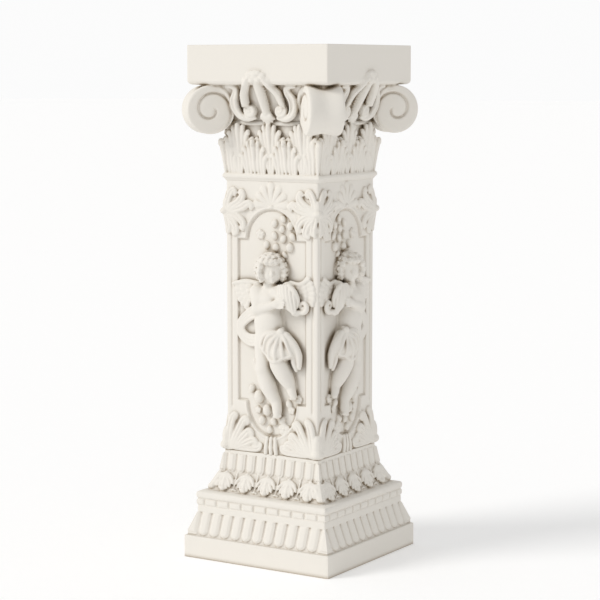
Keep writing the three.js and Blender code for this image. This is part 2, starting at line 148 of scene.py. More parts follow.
class Clay:
    """Distances of one side's wedge, on a grid of (across as a share of out, out, up)."""

    def __init__(self, out, up, step):
        count = int(round((out[0] + out[1]) / step))
        self.step, self.pitch = step, 2.0 / count
        self.share = ((np.arange(count) + 0.5) * self.pitch - 1.0).astype(np.float32)
        self.out = np.arange(out[0], out[1], step, dtype=np.float32)
        self.up = np.arange(up[0], up[1], step, dtype=np.float32)
        self.field = np.full((count, len(self.out), len(self.up)), FAR, np.float32)

    def window(self, low, high):
        """The part of the grid inside a box (across, out, up), with its coordinates."""
        j = slice(*np.searchsorted(self.out, (low[1], high[1])))
        k = slice(*np.searchsorted(self.up, (low[2], high[2])))
        out = self.out[j]
        if not out.size or k.stop <= k.start:
            return None
        ends = [low[0] / out[0], low[0] / out[-1], high[0] / out[0], high[0] / out[-1]]
        i = slice(*np.searchsorted(self.share, (min(ends), max(ends))))
        if i.stop <= i.start:
            return None
        across = self.share[i][:, None, None] * out[None, :, None]
        return (i, j, k), across, out[None, :, None], self.up[k][None, None, :]

    def put(self, distance, low, high, blend=0.0, carve=False):
        """Adds the form whose distance is given, or carves it away."""
        found = self.window(low, high)
        if found is None:
            return
        part, across, out, up = found
        near = distance(across, out, up)
        if carve:
            self.field[part] = -smooth_min(-self.field[part], near, blend)
        else:
            self.field[part] = smooth_min(self.field[part], near, blend)

    def ball(self, at, radii, blend=1.5, lean=0.0, carve=False):
        """An ellipsoid, turned in the plane of the side by lean degrees."""
        at = np.asarray(at, float)
        radii = np.broadcast_to(np.asarray(radii, float), 3)
        reach = (max(radii[0], radii[2]), radii[1], max(radii[0], radii[2])) if lean else radii
        reach = np.asarray(reach) + blend + 1.5
        cos, sin = math.cos(math.radians(lean)), math.sin(math.radians(lean))

        def distance(across, out, up):
            a, b, c = across - at[0], out - at[1], up - at[2]
            a, c = a * cos - c * sin, c * cos + a * sin
            a, b, c = a / radii[0], b / radii[1], c / radii[2]
            whole = np.sqrt(a * a + b * b + c * c)
            slope = np.sqrt((a / radii[0]) ** 2 + (b / radii[1]) ** 2 + (c / radii[2]) ** 2)
            return whole * (whole - 1.0) / np.maximum(slope, 1e-4)

        self.put(distance, at - reach, at + reach, blend, carve)

    def bone(self, start, end, start_radius, end_radius, blend=1.5, flat=1.0, carve=False):
        """A round limb between two points; flat below 1 thins it outwards."""
        start, end = np.asarray(start, float), np.asarray(end, float)
        along = end - start
        length2 = max(float(along @ along), 1e-6)
        reach = max(start_radius, end_radius) + blend + 1.5

        def distance(across, out, up):
            a, b, c = across - start[0], out - start[1], up - start[2]
            t = np.clip((a * along[0] + b * along[1] + c * along[2]) / length2, 0.0, 1.0)
            a, b, c = a - t * along[0], (b - t * along[1]) / flat, c - t * along[2]
            radius = start_radius + t * (end_radius - start_radius)
            return (np.sqrt(a * a + b * b + c * c) - radius) * flat

        low, high = np.minimum(start, end) - reach, np.maximum(start, end) + reach
        self.put(distance, low, high, blend, carve)

    def strand(self, points, radii, blend=1.2, flat=1.0, twin=False, carve=False, per_span=5):
        """A limb along a smooth curve, its radii spread along it; twin repeats it on the left."""
        path = curve_through(points, per_span)
        spread = np.linspace(0, 1, len(radii))
        radius = np.interp(np.linspace(0, 1, len(path)), spread, radii)
        for side in (1, -1) if twin else (1,):
            turned = path * (side, 1, 1)
            for a, b, ra, rb in zip(turned, turned[1:], radius, radius[1:]):
                self.bone(a, b, ra, rb, blend, flat, carve)

    def twin_balls(self, at, radii, blend=1.5, lean=0.0):
        for side in (1, -1):
            self.ball((side * at[0], at[1], at[2]), radii, blend, side * lean)

    def mould(self, outline, ease):
        """The square moulding of a closed outline of (out, up), with its corners eased."""
        outline = np.asarray(outline, float)
        out, up = np.meshgrid(self.out, self.up, indexing="ij")
        nearest = np.full(out.shape, 1e9)
        inside = np.zeros(out.shape, bool)
        for (h0, z0), (h1, z1) in zip(outline, np.roll(outline, -1, axis=0)):
            dh, dz = h1 - h0, z1 - z0
            t = ((out - h0) * dh + (up - z0) * dz) / max(dh * dh + dz * dz, 1e-9)
            t = np.clip(t, 0, 1)
            nearest = np.minimum(nearest, np.hypot(out - h0 - t * dh, up - z0 - t * dz))
            crosses = (z0 > up) != (z1 > up)
            inside ^= crosses & (out < h0 + (up - z0) * dh / (dz if dz else 1e-9))
        flat = np.where(inside, -nearest, nearest).astype(np.float32)
        for i, share in enumerate(self.share):
            gap = self.out * (1 - abs(share))
            eased = self.out + 0.25 * ease * np.maximum(1 - gap / ease, 0) ** 2
            place = np.clip((eased - self.out[0]) / self.step, 0, len(self.out) - 1.001)
            row = place.astype(int)
            mix = (place - row)[:, None]
            level = flat[row] * (1 - mix) + flat[row + 1] * mix
            self.field[i] = np.minimum(self.field[i], level)

    def trim(self, low, high):
        """Cuts the clay off flat at two levels."""
        slab = np.maximum(low - self.up, self.up - high)[None, None, :]
        self.field = np.maximum(self.field, slab)

    def soften(self):
        """Evens the field out between neighbours, as a casting's edges are, and closes hairline gaps."""
        for axis in range(3):
            padded = np.pad(self.field, [(1, 1) if a == axis else (0, 0) for a in range(3)], mode="edge")
            shifted = [np.take(padded, range(n, n + self.field.shape[axis]), axis=axis) for n in (0, 2)]
            self.field = 0.5 * self.field + 0.25 * (shifted[0] + shifted[1])

    def skin(self):
        """Surface nets: one point in each cell that the surface crosses. Points and quads."""
        field = np.concatenate([self.field[:1], self.field, self.field[-1:]])
        inside = field < 0
        cells = tuple(n - 1 for n in field.shape)
        total = np.zeros(cells, np.uint8)
        corners = [(a, b, c) for a in (0, 1) for b in (0, 1) for c in (0, 1)]
        for a, b, c in corners:
            total += inside[a:a + cells[0], b:b + cells[1], c:c + cells[2]]
        where = np.argwhere((total > 0) & (total < 8))
        place = np.zeros((len(where), 3))
        hits = np.zeros(len(where))
        for axis in range(3):
            for corner in corners:
                if corner[axis]:
                    continue
                near = where + corner
                far = near.copy()
                far[:, axis] += 1
                d0, d1 = field[tuple(near.T)], field[tuple(far.T)]
                cross = (d0 < 0) != (d1 < 0)
                t = np.where(cross, d0 / np.where(cross, d0 - d1, 1.0), 0.0)
                place += np.asarray(corner) * cross[:, None]
                place[:, axis] += t
                hits += cross
        place = where + place / hits[:, None]
        share = self.share[0] - self.pitch + place[:, 0] * self.pitch
        out = self.out[0] + place[:, 1] * self.step
        up = self.up[0] + place[:, 2] * self.step
        points = np.stack([share * out, -out, up], axis=1)
        number = np.full(cells, -1, np.int32)
        number[tuple(where.T)] = np.arange(len(where))
        quads = []
        for axis in range(3):
            first, second = [a for a in range(3) if a != axis]
            lower = [slice(None)] * 3
            upper = [slice(None)] * 3
            lower[axis], upper[axis] = slice(0, -1), slice(1, None)
            change = inside[tuple(lower)] != inside[tuple(upper)]
            at = np.argwhere(change)
            keep = (at[:, first] > 0) & (at[:, second] > 0)
            keep &= (at[:, first] < cells[first]) & (at[:, second] < cells[second])
            at = at[keep]
            ring = []
            for da, db in ((1, 1), (0, 1), (0, 0), (1, 0)):
                cell = at.copy()
                cell[:, first] -= da
                cell[:, second] -= db
                ring.append(number[tuple(cell.T)])
            ring = np.stack(ring, axis=1)
            turned = inside[tuple(at.T)] ^ (axis == 1)
            ring[turned] = ring[turned][:, ::-1]
            quads.append(ring)
        return points, np.concatenate(quads)

    def near(self, points):
        """The field at the points, read between the grid's own places."""
        out = -points[:, 1]
        place = [(points[:, 0] / out - self.share[0]) / self.pitch, (out - self.out[0]) / self.step,
                 (points[:, 2] - self.up[0]) / self.step]
        place = [np.clip(n, 0, size - 1.001) for n, size in zip(place, self.field.shape)]
        low = [n.astype(int) for n in place]
        mix = [n - whole for n, whole in zip(place, low)]
        total = 0.0
        for a, b, c in np.ndindex(2, 2, 2):
            share = [m if bit else 1 - m for m, bit in zip(mix, (a, b, c))]
            corner = self.field[low[0] + a, low[1] + b, low[2] + c]
            total = total + share[0] * share[1] * share[2] * corner
        return total

    def settled(self, points, rounds=2):
        """The points moved onto the surface itself, which takes the grid's ripple out of the skin."""
        reach = 0.6 * self.step
        for _ in range(rounds):
            steps = np.eye(3) * reach
            slope = np.stack([self.near(points + d) - self.near(points - d) for d in steps], axis=1)
            slope = slope / (2 * reach)
            push = self.near(points) / np.maximum((slope**2).sum(axis=1), 0.1)
            points = points - slope * np.clip(push, -reach, reach)[:, None]
        return points


# The base


def line_at(foot, head, low, high):
    """The half of a sloping side at each level."""
    return lambda up: foot + (head - foot) * np.clip((up - low) / (high - low), 0, 1)


def tongue_course(clay, slope, low, high, pitch, each, rise, point):
    """Upright tongues side by side, each with a sunk line inside its rim, and one at each corner."""
    half = 0.5 * pitch - 0.8
    edge = (each + 0.5) * pitch + 0.5

    def distance(across, out, up):
        side = np.abs(across)
        middle = np.abs((side + 0.5 * pitch) % pitch - 0.5 * pitch)
        below = np.maximum(low + point - up, 0) * (half / point)
        strip = half - np.sqrt(middle**2 + below**2)
        corner = np.minimum(side - edge, (up - low) * 0.8)
        inside = np.where(side < (each + 0.5) * pitch, strip, corner)
        crown = rise * (1 - np.exp(-np.maximum(inside, 0) / 1.0)) + 0.5 * np.minimum(inside, 3) / 3
        crown -= 1.7 * np.exp(-(((inside - 2.7) / 0.95) ** 2))
        crown = np.where(inside > 0, crown, 1.5 * inside)
        return (out - slope(up) - crown) * 0.75

    reach = slope(low) + 8
    clay.put(distance, (-reach, slope(high) - 4, low - 1), (reach, reach, high + 0.5))


def brick_course(clay):
    middle = 0.5 * (BRICK_BOTTOM + BRICK_TOP)
    tall = 0.5 * (BRICK_TOP - BRICK_BOTTOM) - 0.5

    def distance(across, out, up):
        side = np.abs(across)
        gap = np.abs((side + 0.5 * BRICK_PITCH) % BRICK_PITCH - 0.5 * BRICK_PITCH)
        inner = 0.5 * BRICK_PITCH - 1.1 - gap
        corner = side - (BRICKS_EACH + 0.5) * BRICK_PITCH - 0.75
        inside = np.where(side < (BRICKS_EACH + 0.5) * BRICK_PITCH, inner, corner)
        inside = np.minimum(inside, tall - np.abs(up - middle))
        crown = np.where(inside > 0, 2.5 * (1 - np.exp(-np.maximum(inside, 0) / 0.6)), 2 * inside)
        return (out - BRICK_CORE - crown) * 0.75

    clay.put(distance, (-116, BRICK_CORE - 3, BRICK_BOTTOM - 1), (116, 116, BRICK_TOP + 1))


def hanging_leaf(clay, centre, slope):
    """An acanthus leaf upside down: a round tip under a midrib, and three lobes to each side."""
    def at(across, out, up):
        return (centre + across, slope(up) + out, up)

    clay.ball(at(0, -0.4, 117), (15.5, 4.2, 10.5), 1.0)
    clay.ball(at(0, 0.8, 110.5), (11.5, 4.0, 7.5), 1.0)
    clay.ball(at(0, 4.2, 104.6), (5.0, 3.4, 4.6), 0.8)
    clay.strand([at(0, 1.8, 128), at(0, 3.4, 118), at(0, 4.0, 108)], (2.2, 2.6, 2.8), 0.6)
    for side in (-1, 1):
        for spread, low in ((6.2, 106.5), (11.2, 109.5), (15.4, 114.5)):
            path = [at(side * 1.6, 1.4, 127), at(side * 0.5 * spread, 2.6, low + 9),
                    at(side * 0.9 * spread, 3.0, low + 2.5), at(side * spread, 3.2, low - 1.5)]
            clay.strand(path, (1.6, 2.3, 2.6, 1.7), 0.4)


def model_base():
    clay = Clay((68.0, 131.0), (-3.0, 165.0), BASE_CELL)
    torus = [
        (TORUS_HALF - 2.6 + 2.6 * math.sin(a), 93.5 - 5.4 * math.cos(a))
        for a in np.linspace(0.2, math.pi - 0.5, 9)
    ]
    clay.mould(
        [(40, -10), (PLINTH_HALF, -10), (PLINTH_HALF, PLINTH_TOP), (BELL_FOOT, PLINTH_TOP + 0.4),
         (114.0, 51.0), (BELL_HEAD, BELL_TOP), (BAND_HALF, BELL_TOP + 0.3), (BAND_HALF, 77),
         (BRICK_CORE, BRICK_BOTTOM), (BRICK_CORE, BRICK_TOP), *torus, (108.0, TORUS_TOP),
         (LEAF_FOOT, 100.5), (93.0, 112.0), (LEAF_HEAD, LEAF_TOP), (TONGUE_FOOT, LEAF_TOP + 0.5),
         (TONGUE_HEAD, TONGUE_TOP), (FILLET_HALF, TONGUE_TOP + 0.4), (FILLET_HALF, 160.4),
         (FILLET_HALF - 0.8, SHAFT_BOTTOM), (SHAFT_HALF, SHAFT_BOTTOM + 0.2), (SHAFT_HALF, 175), (40, 175)],
        ease=3.5,
    )
    bell = line_at(BELL_FOOT, BELL_HEAD, PLINTH_TOP, BELL_TOP)
    tongue_course(clay, bell, 34.0, BELL_TOP, GADROON_PITCH, GADROONS_EACH, 3.4, 7.5)
    brick_course(clay)
    leaf_slope = line_at(LEAF_FOOT - 0.5, LEAF_HEAD, TORUS_TOP, LEAF_TOP)
    for i in range(-LEAVES_EACH, LEAVES_EACH + 1):
        hanging_leaf(clay, i * LEAF_PITCH, leaf_slope)
        if i < LEAVES_EACH:
            middle = (i + 0.5) * LEAF_PITCH
            clay.strand([(middle, leaf_slope(128) + 0.5, 128), (middle, leaf_slope(116) + 0.8, 116),
                         (middle, leaf_slope(108) + 1.2, 108)], (1.6, 1.8, 1.2), 0.6)
            clay.ball((middle, leaf_slope(104) + 1.5, 104), (2.4, 2.2, 2.6), 0.5)
            for side in (-1, 1):
                clay.ball((middle + 3.6 * side, leaf_slope(103) + 1.0, 103), (2.0, 1.8, 2.2), 0.5)
    for side in (-1, 1):
        hanging_corner(clay, side, leaf_slope)
    lean = line_at(TONGUE_FOOT, TONGUE_HEAD, LEAF_TOP, TONGUE_TOP)
    tongue_course(clay, lean, 126.5, TONGUE_TOP, TONGUE_PITCH, TONGUES_EACH, 3.2, 9.0)
    return clay


def hanging_corner(clay, side, slope):
    """The leaf that hangs down a corner, half of it on this side."""
    def at(across, out, up):
        half = slope(up) + out
        return (side * (half - across), half, up)

    clay.ball(at(8, -1.0, 117), (12, 4.2, 10), 1.0)
    clay.ball(at(6, -0.2, 110), (10, 4.2, 7.5), 1.0)
    clay.ball(at(1.0, 0.0, 105.5), (6.5, 5.6, 5.6), 1.0)
    clay.strand([at(0, -0.5, 128), at(0, 0.0, 118), at(0, 0.5, 109)], (2.6, 3.2, 3.4), 1.0)
    for spread, low in ((15.4, 114.5), (11.0, 109.5), (6.4, 106.5)):
        path = [at(2.0, 1.0, 127), at(0.5 * spread, 2.4, low + 9), at(0.9 * spread, 2.8, low + 2.5),
                at(spread, 3.0, low - 1.5)]
        clay.strand(path, (1.5, 2.2, 2.5, 1.7), 0.4)


# The capital


def bell_half(up):
    return CAPITAL_FOOT + (CAPITAL_HEAD - CAPITAL_FOOT) * np.clip((up - ASTRAGAL_TOP) / 66.0, 0, 1)


def standing_leaf(clay, at, wide, tip, thick):
    """A leaf standing on the bell: fat ribs that spread from its foot, and tips that roll out.

    at gives the place for a distance across, a distance out and a share of the height."""
    clay.ball(at(0, 1.0, 0.48), (0.80 * wide, thick, 0.46 * CAPITAL_TALL), 1.5)
    clay.strand([at(0, 3.4, 0), at(0, 5.4, 0.45), at(0, 7.4, 0.8), at(0, tip, 1.0), at(0, tip + 2.4, 0.90)],
                (2.2, 3.3, 4.4, 4.0, 2.4), 0.5)
    for side in (-1, 1):
        for spread, reach, roll in ((0.40, 0.96, 0.92), (0.76, 0.80, 0.72), (1.04, 0.58, 0.50)):
            out = roll * tip
            path = [at(side * 0.72 * spread * wide, 2.4, 0),
                    at(side * 0.74 * spread * wide, 4.2 - spread, 0.42 * reach),
                    at(side * 0.84 * spread * wide, 5.2 - spread, 0.76 * reach),
                    at(side * spread * wide, out - 1.0, reach),
                    at(side * 1.14 * spread * wide, out + 0.6, 0.90 * reach)]
            clay.strand(path, (2.6, 3.2, 4.0, 3.4, 1.8), 0.5)


def capital_leaf(clay, centre, foot, tip):
    """A leaf on the capital's side; one that stands above the astragal has a ribbed stalk down to it."""
    def at(across, out, share):
        up = foot + share * CAPITAL_TALL
        return (centre + across, bell_half(up) + out, up)

    standing_leaf(clay, at, CAPITAL_WIDE, tip, 5.6)
    if foot > ASTRAGAL_TOP:
        end = (ASTRAGAL_TOP - foot) / CAPITAL_TALL
        for across in (-5.5, 0, 5.5):
            rib = [at(0.6 * across, 1.6, end), at(0.9 * across, 2.4, 0.5 * end), at(across, 3.0, 0.1)]
            clay.strand(rib, (2.6, 2.9, 3.0), 0.5)


def capital_corner_leaf(clay, side):
    """The lower leaf that wraps a corner, half of it on this side."""
    def at(across, out, share):
        up = ASTRAGAL_TOP + share * CAPITAL_TALL
        half = bell_half(up) + 0.6 * out
        inward = side * across
        return (side * (half - max(-inward, 0)), half - max(inward, 0), up)

    standing_leaf(clay, at, CAPITAL_WIDE, LOWER_TIP, 2.0)


def volute(clay, side):
    """A scroll on the corner: its band hollow between two rims, a spiral step cut in its face."""
    rim, hollow, coil = 3.4, 3.2, 0.66 * VOLUTE_RADIUS

    def distance(across, out, up):
        x = side * across
        along = (x + out) * math.sqrt(0.5) - VOLUTE_REACH
        over = np.abs(x - out) * math.sqrt(0.5)
        rise = up - VOLUTE_UP
        radius = np.sqrt(along * along + rise * rise)
        dish = 1 - ramp(over, 0, VOLUTE_HALF - rim)
        tread = radius - (VOLUTE_RADIUS - hollow * dish)
        angle = np.degrees(np.arctan2(rise, along))
        angle = np.where(angle < -90, angle + 360, angle)
        turns = (1.02 * VOLUTE_RADIUS - radius) / coil - (270 - angle) / 360
        inward = (turns - np.floor(turns)) * coil
        outward = coil - inward
        cut = 3.4 * np.exp(-((inward / 2.0) ** 2)) + 3.4 * np.exp(-((outward / 0.9) ** 2))
        cut = cut + 1.3 * np.exp(-inward / 6.0)
        face = over - (VOLUTE_HALF + 1.0 - cut * ramp(radius, 3.0, 8.0))
        return -smooth_min(-tread, -face * 0.7, 2.4)

    low, high = sorted((side * 50.0, side * 146.0))
    clay.put(distance, (low, 66.0, 626.0), (high, 146.0, 706.0), 1.5)


def bouquet(clay):
    """The middle ornament: a banded stalk that leans out to the abacus between scrolled leaves."""
    foot, crown = np.array((0, 87.0, 655.0)), np.array((0, 116.0, 710.0))
    clay.bone(foot, crown, 5.6, 8.2, 1.0)
    for share in np.linspace(0.04, 1, 15):
        clay.ball(foot + (crown - foot) * share, (6.8 + 2.8 * share, 6.8 + 2.8 * share, 1.5), 0.4)
    for lean in (-62, -34, -10, 12, 36, 64):
        sin, cos = math.sin(math.radians(lean)), math.cos(math.radians(lean))
        tip = (12 * sin, 87.5, 659 - 11 * cos)
        clay.strand([(3 * sin, 91.5, 666), (8 * sin, 91.5, 660 - 4 * cos), tip], (2.2, 3.2, 2.2), 0.5)
    for across, out, up, size in ((0, 120.5, 717, 7.2), (11, 119.5, 715, 6.4), (5.4, 121.8, 709.5, 5.2),
                                  (19.0, 117.5, 708.5, 6.0)):
        clay.twin_balls((across, out, up), (size, 0.8 * size, size), 0.6)
    clay.twin_balls((5.6, 122.0, 719), (4.6, 3.6, 4.4), 0.5)
    ribbon = np.array([(12, 119, 712), (19, 116, 704), (24, 111, 697), (29, 106, 690), (30.5, 101.5, 682),
                       (31, 98, 675)])
    clay.strand(ribbon, (5.4, 6.0, 5.6, 6.2, 5.6, 4.6), 0.7, twin=True)
    for across, out, up in curve_through(ribbon, 2):
        clay.twin_balls((across, out + 1.4, up), (7.6, 5.6, 2.6), 0.5, lean=35)
    turns = zip(np.linspace(0.9, -8.8, 16), np.linspace(9.2, 1.2, 16))
    curl = [(26 + r * math.cos(a), 96.5 - 0.3 * r, 665.5 + r * math.sin(a)) for a, r in turns]
    clay.strand(curl, (3.4, 3.6, 3.2, 2.8, 2.4), 0.4, twin=True, per_span=3)
    clay.twin_balls((26, 91, 665.5), (10, 5.0, 10), 0.8)
    bowl = np.array([(20, 91.5, 655), (33, 92.0, 653.5), (44, 94.0, 659), (50, 97.0, 670), (49.5, 100.5, 682),
                     (44.5, 103.5, 691), (44, 106.0, 698), (51, 108.0, 701), (59, 108.5, 700)])
    clay.strand(bowl, (2.8, 4.2, 5.6, 6.6, 6.4, 5.6, 4.6, 4.0, 2.2), 0.7, twin=True)
    clay.strand(bowl[1:7] + (0.5, 6.6, 0.5), (1.2, 2.4, 3.0, 2.8, 1.2), 0.8, twin=True, carve=True)
    clay.strand([(75, 107, 701), (65, 101, 692), (58.5, 95, 678), (61, 90, 662)], (3.0, 4.0, 3.6, 2.4), 0.9,
                twin=True)


def model_capital():
    clay = Clay((66.0, 146.0), (559.0, HEIGHT + 3.0), CAPITAL_CELL)
    astragal = [
        (ASTRAGAL_HALF - 2.6 + 2.6 * math.sin(a), 569.8 - 3.9 * math.cos(a))
        for a in np.linspace(0.15, math.pi - 0.15, 9)
    ]
    clay.mould(
        [(40, 545), (SHAFT_HALF, 545), (SHAFT_HALF, SHAFT_TOP), (81.2, SHAFT_TOP + 0.6), (81.2, 565.6),
         *astragal, (CAPITAL_FOOT, ASTRAGAL_TOP + 0.4), (CAPITAL_HEAD, BAR_LOW - 1),
         (83.4, BAR_LOW), (84.6, 647), (83.4, BAR_HIGH), (81.0, 651.5),
         (85.5, 662), (92, 678), (100, 692), (105, 699), (106, ABACUS_BOTTOM - 0.2),
         (114.5, ABACUS_BOTTOM), (118.2, 703.9), (ABACUS_HALF, 707.5), (ABACUS_HALF, 790), (40, 790)],
        ease=3.2,
    )
    for i in (-1, 0, 1):
        capital_leaf(clay, i * CAPITAL_PITCH, BAR_LOW - CAPITAL_TALL, UPPER_TIP)
    for i in (-0.5, 0.5):
        capital_leaf(clay, i * CAPITAL_PITCH, ASTRAGAL_TOP, LOWER_TIP)
    for side in (-1, 1):
        capital_corner_leaf(clay, side)
        volute(clay, side)
    bouquet(clay)
    return clay


# The shaft


def shaft_face(clay):
    """The panel, sunk between a groove and the corner posts, with a ribbed arch at head and foot."""
    groove, ease = 70.0, 4.0

    def distance(across, out, up):
        side = np.abs(across)
        field = np.minimum(PANEL_HALF - side, np.minimum(up - PANEL_BOTTOM, PANEL_TOP - up))
        above = np.maximum(up - PANEL_TOP, 0) / ARCH_RISE
        below = np.maximum(PANEL_BOTTOM - up, 0) / ARCH_DROP
        arch = ARCH_HALF * (1 - np.sqrt((side / ARCH_HALF) ** 2 + above**2 + below**2))
        past = np.maximum(above, below) > 0
        inside = np.where(past, arch, np.maximum(field, arch))
        face = SHAFT_HALF - PANEL_DEEP * ramp(inside, -0.7, 1.0)
        face = face + 1.3 * np.exp(-(((arch + 2.3) / 1.3) ** 2)) * np.where(past, 1.0, 0.0)
        tall = ramp(up, 222, 230) * (1 - ramp(up, 486, 492))
        face = face - 2.2 * np.exp(-(((side - groove) / 1.1) ** 2)) * tall
        face = face - 1.2 * np.exp(-(((inside - 1.2) / 1.1) ** 2))
        eased = out + 0.25 * ease * np.maximum(1 - (out - side) / ease, 0) ** 2
        return (eased - face) * 0.9

    clay.put(distance, (-120, 0, 0), (120, 200, 999))


def on_shaft(across, out, up):
    return (across, SHAFT_HALF + out, up)


def shell(clay):
    """A low fan of seven lobes over the arch, cut apart by fine lines."""
    foot = 526.0
    leans = np.linspace(-81, 81, 7)
    for lean in leans:
        reach = 31.0 - 0.07 * abs(lean)
        sin, cos = math.sin(math.radians(lean)), math.cos(math.radians(lean))
        path = [on_shaft(sin * r, 0.0, foot + cos * r) for r in (5, 14, 24, reach)]
        clay.strand(path, (1.6, 4.2, 6.6, 5.6), 0.4, flat=0.42)
    for lean in 0.5 * (leans[1:] + leans[:-1]):
        sin, cos = math.sin(math.radians(lean)), math.cos(math.radians(lean))
        path = [on_shaft(sin * r, out, foot + cos * r) for r, out in ((6, 1.4), (18, 2.0), (29, 1.6))]
        clay.strand(path, (0.7, 1.1, 1.3), 0.4, carve=True)
    clay.ball(on_shaft(0, 0.6, foot), (4.4, 2.4, 3.0), 0.6)


def lobes(clay, paths):
    """Leaf lobes on the shaft's face, on both halves: paths of (across, up) with a radius at the root."""
    for radius, *path in paths:
        path = np.array(path, float)
        rise = np.linspace(1.6, 0.2, len(path))
        points = [on_shaft(u, 0.2 * radius + lift, z) for (u, z), lift in zip(path, rise)]
        taper = radius * np.array((0.9, 1.0, 1.05, 0.8, 0.45))
        clay.strand(points, taper, 0.5, flat=0.62, twin=True)
        vein = [on_shaft(u, 0.86 * radius + lift, z) for (u, z), lift in zip(path[:-1], rise)]
        clay.strand(vein, (0.8, 1.5, 1.4, 0.7), 0.6, twin=True, carve=True)


def head_corner(clay):
    """Acanthus at the head of each corner: a rolled tip on the edge and lobes curling on the face."""
    clay.twin_balls(on_shaft(62, -0.4, 517), (17, 3.4, 22), 1.0)
    clay.twin_balls(on_shaft(67, -0.4, 496), (12, 3.4, 11), 1.0)
    lobes(clay, [
        (5.0, (77, 519), (75, 531), (71, 542), (66, 549), (62, 546), (63, 541)),
        (6.0, (75, 519), (65, 526), (55, 532), (49, 540), (51, 547), (55, 545)),
        (6.0, (75, 516), (61, 520), (49, 524), (39, 530), (33, 527), (35, 522)),
        (5.6, (75, 513), (64, 513), (54, 508), (48, 500), (49, 493), (53, 495)),
        (5.4, (76, 511), (68, 506), (62, 498), (60, 489), (64, 485), (66, 489)),
        (4.4, (78, 512), (75, 503), (73, 495), (74, 488), (76, 486)),
    ])
    clay.twin_balls(on_shaft(80.5, 1.0, 518), (7.5, 7.5, 5.5), 1.2)
    clay.twin_balls(on_shaft(79.5, 0.6, 528), (4.5, 4.5, 9.0), 1.0)


def foot_corner(clay):
    """Acanthus at the foot of each corner, its lobes curling in over the face, and the stem between."""
    clay.twin_balls(on_shaft(60, -0.4, 180), (24, 3.6, 22), 1.0, lean=-30)
    clay.twin_balls(on_shaft(27, 0.0, 172), (9, 3.6, 6), 1.0)
    lobes(clay, [
        (6.2, (74, 166), (73, 182), (70, 200), (66, 212), (62, 214), (62, 209)),
        (6.4, (69, 167), (61, 183), (53, 198), (46, 209), (41, 207), (43, 202)),
        (6.0, (64, 167), (53, 178), (44, 187), (38, 192), (34, 188), (37, 184)),
        (5.6, (60, 166), (47, 172), (37, 177), (30, 179), (26, 175), (29, 171)),
        (4.4, (56, 165), (42, 165.5), (29, 166), (21, 168), (18, 173), (22, 176)),
    ])
    clay.twin_balls(on_shaft(79, 1.2, 180), (6.5, 6.5, 16.0), 1.5)
    clay.twin_balls(on_shaft(80, 1.6, 168), (8.5, 8.5, 7.0), 1.5)
    for across in (-9.0, 0.0, 9.0):
        clay.strand([on_shaft(across, 0.8, 162), on_shaft(0.9 * across, 1.4, 172),
                     on_shaft(0.75 * across, 0.6, 185)], (3.8, 3.8, 2.8), 0.5)


FRUIT = [  # across, up, radius: plain fruit
    (-9, 470, 6.2), (5, 502, 6.0), (20, 509, 5.8), (18, 494, 5.8), (32, 499, 6.4), (5, 484, 6.2),
    (20, 480, 6.2), (36, 484, 6.2), (7, 467, 6.4), (31, 468, 7.0), (22, 457, 5.0),
    (-35, 256, 6.5), (-22, 245, 9.6), (-8, 226, 8.6), (-17, 210, 7.2), (3, 210, 6.4), (18, 213, 6.4),
    (-4, 197, 6.2), (30, 238, 6.4),
]
# across, up, radius: flowers of five petals
FLOWER = [(-20, 485, 7.0), (21, 200, 9.4), (46, 246, 6.4), (34, 229, 6.0), (-24, 225, 5.4)]


def fruit_and_flowers(clay):
    for n, (across, up, radius) in enumerate(FRUIT):
        lean = 25 * math.sin(2.4 * n)
        radii = (0.84 * radius, 0.85 * radius, 1.06 * radius)
        clay.ball((across, FIELD + 0.15 * radius, up), radii, 0.6, lean)
        crease = [(across + 0.25 * radius, FIELD + 0.95 * radius, up + 0.7 * radius),
                  (across + 0.4 * radius, FIELD + 0.9 * radius, up)]
        clay.strand(crease, (0.6, 0.4), 0.5, carve=True, per_span=2)
    for across, up, radius in FLOWER:
        for i in range(5):
            turn = 2 * math.pi * (i + 0.25) / 5
            at = (across + 0.62 * radius * math.cos(turn), FIELD + 1.2, up + 0.62 * radius * math.sin(turn))
            clay.ball(at, (0.5 * radius, 3.0, 0.5 * radius), 0.4)
        clay.ball((across, FIELD + 3.0, up), (0.3 * radius, 2.0, 0.3 * radius), 0.3)
    for t in (0.0, 0.5, 1.0):
        clay.ball((-31 + 4 * t, FIELD, 297 - 12 * t), (3.6, 2.2, 5.0), 0.4, lean=-20)


